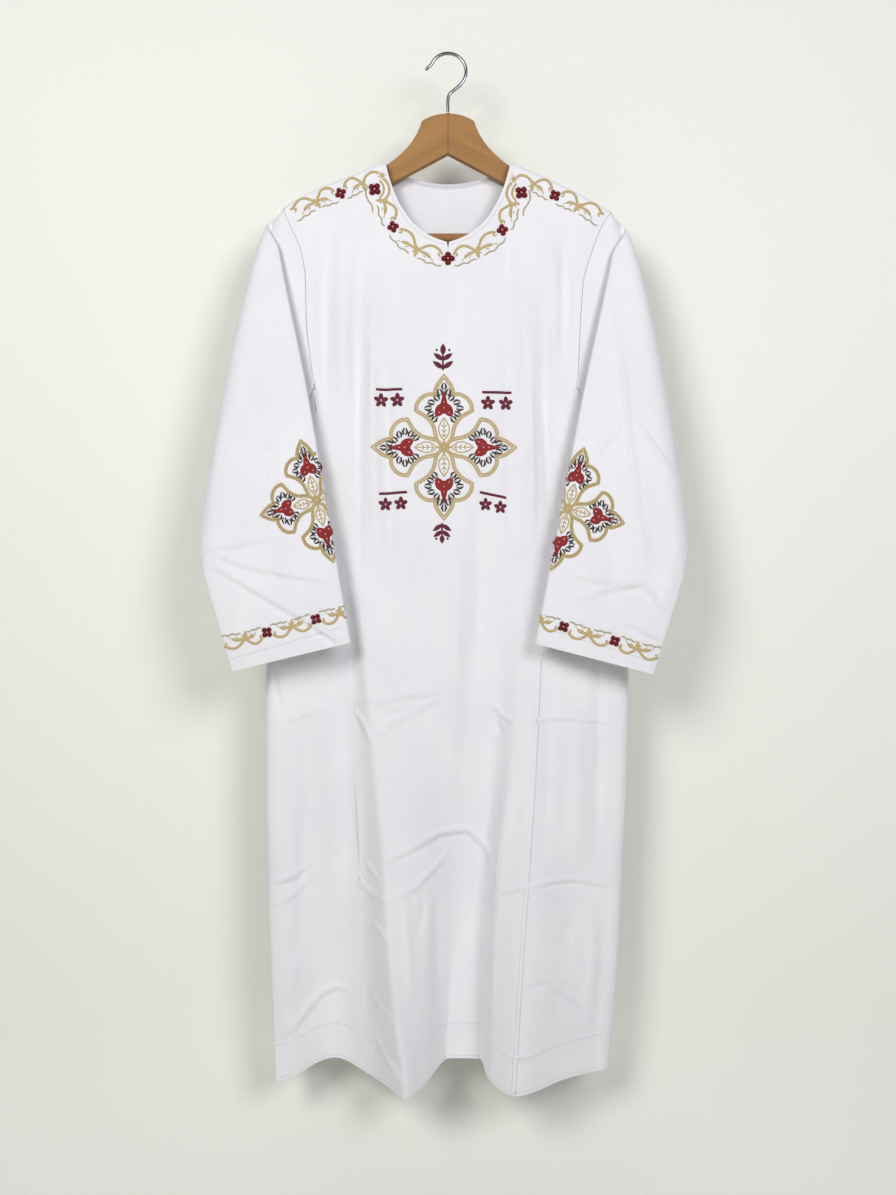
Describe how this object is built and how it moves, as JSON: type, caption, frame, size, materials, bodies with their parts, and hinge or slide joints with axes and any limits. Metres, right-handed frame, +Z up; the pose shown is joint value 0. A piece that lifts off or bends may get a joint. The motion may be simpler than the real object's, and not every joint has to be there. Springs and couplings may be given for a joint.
{
  "type": "coptic deacon tunic on a hanger",
  "caption": "Long-sleeved white deacon's tunic hanging on a flat wooden hanger, with folded-in sleeves, seamed side panels, open neck and hem.",
  "frame": {"origin": "the point inside the top of the hanger's hook where the hook hangs on its rail", "axes": "+Z up, +X to the viewer's right across the shoulders, -Y out of the tunic's front"},
  "size_m": [0.6209, 0.1127, 1.3352],
  "materials": {
    "cloth": "matte white polyester-cotton",
    "wood": "clear satin varnish on beech",
    "wire": "polished"
  },
  "bodies": {
    "root": {"front_panel": "cloth", "back_panel": "cloth", "side_panel_left": "cloth", "side_panel_right": "cloth", "sleeve_left": "cloth", "sleeve_right": "cloth", "hanger_arm_left": "wood", "hanger_arm_right": "wood", "trouser_bar": "wood", "hook": "wire"}
  },
  "joints": []
}
